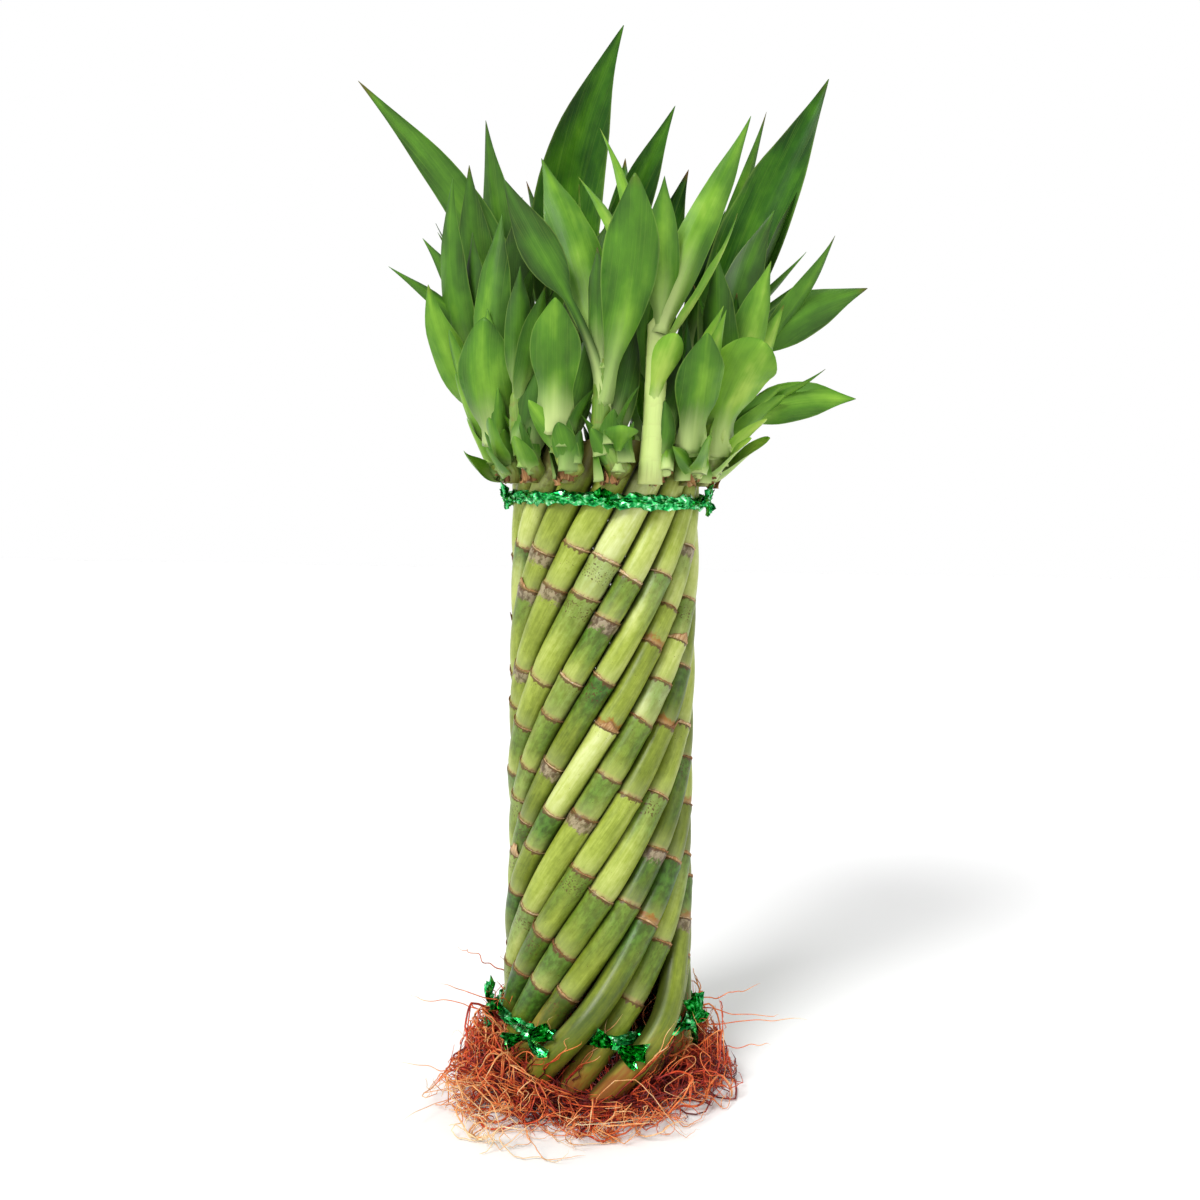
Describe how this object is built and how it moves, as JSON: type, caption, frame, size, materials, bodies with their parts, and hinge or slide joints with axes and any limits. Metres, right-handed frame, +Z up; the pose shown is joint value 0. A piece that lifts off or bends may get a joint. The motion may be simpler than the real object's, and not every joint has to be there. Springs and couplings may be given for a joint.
{
  "type": "lucky bamboo",
  "caption": "Bare-root lucky bamboo tower: green canes wound into a hollow column, tied with crinkled foil near the top and the foot, with leafy shoots above and fibrous roots below.",
  "frame": {"origin": "on the surface that the bundle stands on, on the axis of the bundle of canes", "axes": "+Z up along the bundle's axis, -Y to the front that the picture shows, +X to its right"},
  "size_m": [0.206, 0.1822, 0.419],
  "materials": {
    "cane": "smooth green rind with brown rings",
    "leaf": "glossy green leaf",
    "root": "dull rust-coloured fibres",
    "foil": "crinkled metallic green"
  },
  "bodies": {
    "root": {"cane_01": "cane", "cane_02": "cane", "cane_03": "cane", "cane_04": "cane", "cane_05": "cane", "cane_06": "cane", "cane_07": "cane", "cane_08": "cane", "cane_09": "cane", "cane_10": "cane", "cane_11": "cane", "cane_12": "cane", "cane_13": "cane", "cane_14": "cane", "cane_15": "cane", "cane_16": "cane", "roots_01": "root", "roots_02": "root", "roots_03": "root", "roots_04": "root", "roots_05": "root", "roots_06": "root", "roots_07": "root", "roots_08": "root", "roots_09": "root", "roots_10": "root", "roots_11": "root", "roots_12": "root", "roots_13": "root", "roots_14": "root", "roots_15": "root", "roots_16": "root", "shoot_01": "leaf", "shoot_02": "leaf", "shoot_03": "leaf", "shoot_04": "leaf", "shoot_05": "leaf", "shoot_06": "leaf", "shoot_07": "leaf", "shoot_08": "leaf", "shoot_09": "leaf", "shoot_10": "leaf", "shoot_11": "leaf", "shoot_12": "leaf", "shoot_13": "leaf", "shoot_14": "leaf", "shoot_15": "leaf", "shoot_16": "leaf", "tie_top": "foil", "tie_bottom": "foil"}
  },
  "joints": []
}
